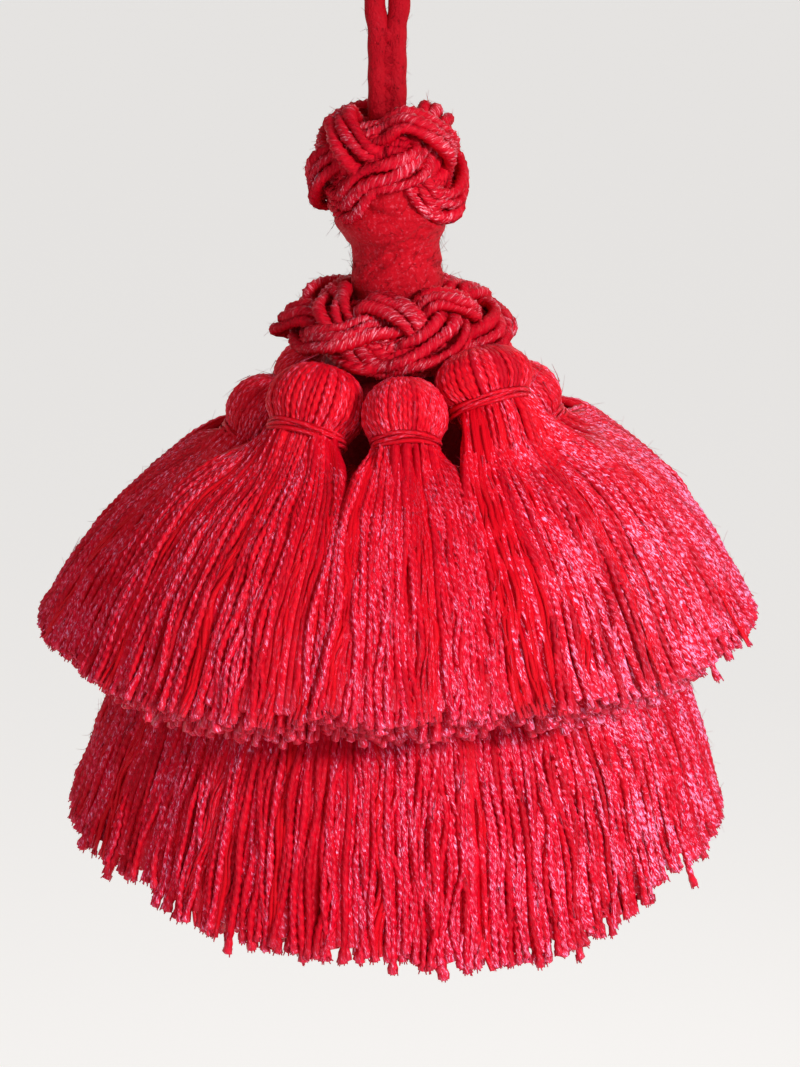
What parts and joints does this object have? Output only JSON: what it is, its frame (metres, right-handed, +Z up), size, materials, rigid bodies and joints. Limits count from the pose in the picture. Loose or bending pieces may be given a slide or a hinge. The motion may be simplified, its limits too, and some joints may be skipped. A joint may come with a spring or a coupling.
{
  "type": "silk tassel",
  "caption": "Tiered hanging silk tassel: knotted ball, wrapped neck and knotted collar over two flared skirts of small tied tassels, hung by a doubled cord.",
  "frame": {"origin": "inside top of the hanging loop's eye, where a hook or nail holds it", "axes": "+Z up, opposite to the way the tassel hangs; -Y is the front; the loop's eye lies in the XZ plane"},
  "size_m": [0.0885, 0.0883, 0.1285],
  "materials": {
    "hanging_cord": "twisted silk cord, crimson, slightly fuzzy",
    "knot_cord": "fine twisted silk cords laid side by side, crimson with a pink sheen",
    "neck_wrap": "close silk wrapping, crimson, soft sheen",
    "tassel_silk": "loose twisted silk yarns and floss, crimson to vermilion with pink highlights",
    "tie_thread": "twisted silk yarn, crimson"
  },
  "bodies": {
    "root": {"hanging_loop": "hanging_cord", "top_knot": "knot_cord", "collar_knot": "knot_cord", "wrapped_neck": "neck_wrap", "upper_tassel_1": "tassel_silk", "upper_tassel_2": "tassel_silk", "upper_tassel_3": "tassel_silk", "upper_tassel_4": "tassel_silk", "upper_tassel_5": "tassel_silk", "upper_tassel_6": "tassel_silk", "upper_tassel_7": "tassel_silk", "upper_tassel_8": "tassel_silk", "lower_tassel_1": "tassel_silk", "lower_tassel_2": "tassel_silk", "lower_tassel_3": "tassel_silk", "lower_tassel_4": "tassel_silk", "lower_tassel_5": "tassel_silk", "lower_tassel_6": "tassel_silk", "lower_tassel_7": "tassel_silk", "lower_tassel_8": "tassel_silk", "upper_tie_1": "tie_thread", "upper_tie_2": "tie_thread", "upper_tie_3": "tie_thread", "upper_tie_4": "tie_thread", "upper_tie_5": "tie_thread", "upper_tie_6": "tie_thread", "upper_tie_7": "tie_thread", "upper_tie_8": "tie_thread"}
  },
  "joints": []
}
